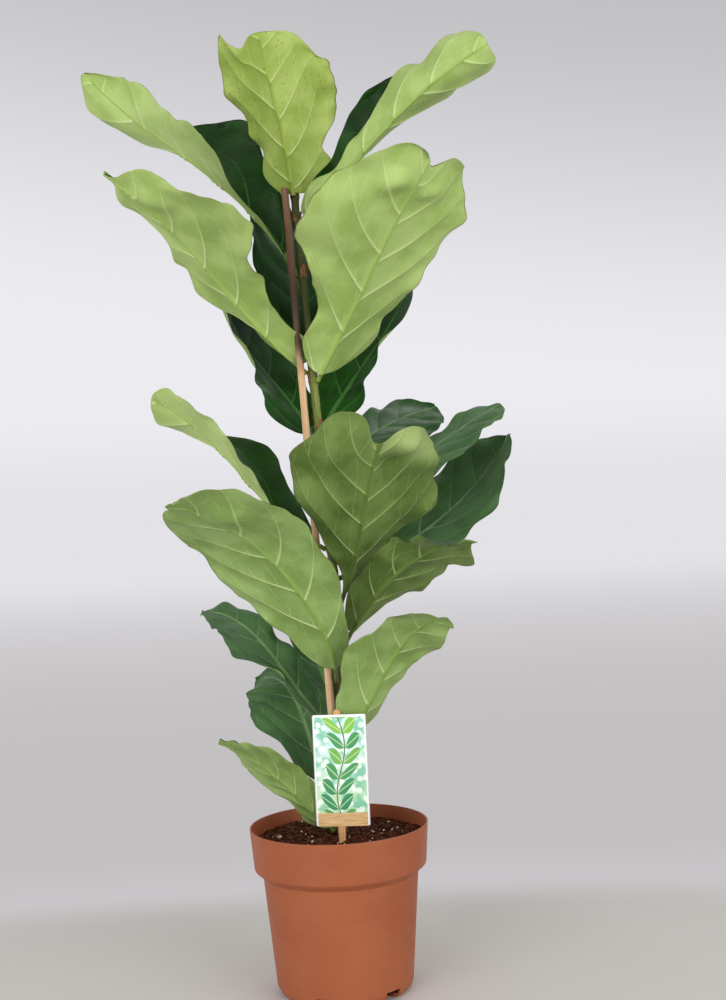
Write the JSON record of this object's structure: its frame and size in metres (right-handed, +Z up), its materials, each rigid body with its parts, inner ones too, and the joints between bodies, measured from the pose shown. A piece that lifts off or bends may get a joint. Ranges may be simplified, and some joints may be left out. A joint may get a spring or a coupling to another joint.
{
  "type": "potted fiddle leaf fig",
  "caption": "Young fiddle leaf fig with big lyre-shaped leaves on one upright stem, tied to a cane, standing in a round terracotta-coloured nursery pot with a plant label.",
  "frame": {"origin": "centre of the pot's flat underside", "axes": "+Z up along the pot's axis and the stem, +X to the right and -Y towards the viewer of the picture"},
  "size_m": [0.4533, 0.4127, 0.9965],
  "materials": {
    "terracotta_plastic": "injection-moulded polypropylene, terracotta brown, satin matt",
    "potting_mix": "dark brown peat and bark mix with white perlite grains, rough and matt",
    "stem": "green to brown young bark with rings at the leaf joints and papery brown sheaths",
    "bamboo": "pale split-free wooden cane, smooth and dry",
    "label_card": null,
    "label_stick": "thin tan wooden stake, fine grain, matt",
    "leaf": "leathery leaf, glossy dark green above, lighter matt green below, pale raised veins"
  },
  "bodies": {
    "root": {"pot": "terracotta_plastic", "soil": "potting_mix", "stem": "stem", "cane": "bamboo", "label_card": "label_card", "label_stick": "label_stick", "leaf_01_low_left": "leaf", "leaf_02_low_back": "leaf", "leaf_03_left": "leaf", "leaf_04_right_front": "leaf", "leaf_05_back": "leaf", "leaf_06_left_front": "leaf", "leaf_07_right_wavy": "leaf", "leaf_08_front": "leaf", "leaf_09_right_back": "leaf", "leaf_10_right_pointed": "leaf", "leaf_11_left_trough": "leaf", "leaf_12_back_right": "leaf", "leaf_13_left_dark": "leaf", "leaf_14_right_dark": "leaf", "leaf_15_right_large": "leaf", "leaf_16_left_front": "leaf", "leaf_17_back": "leaf", "leaf_18_top_left": "leaf", "leaf_19_top_right": "leaf", "leaf_20_top_front": "leaf"}
  },
  "joints": []
}
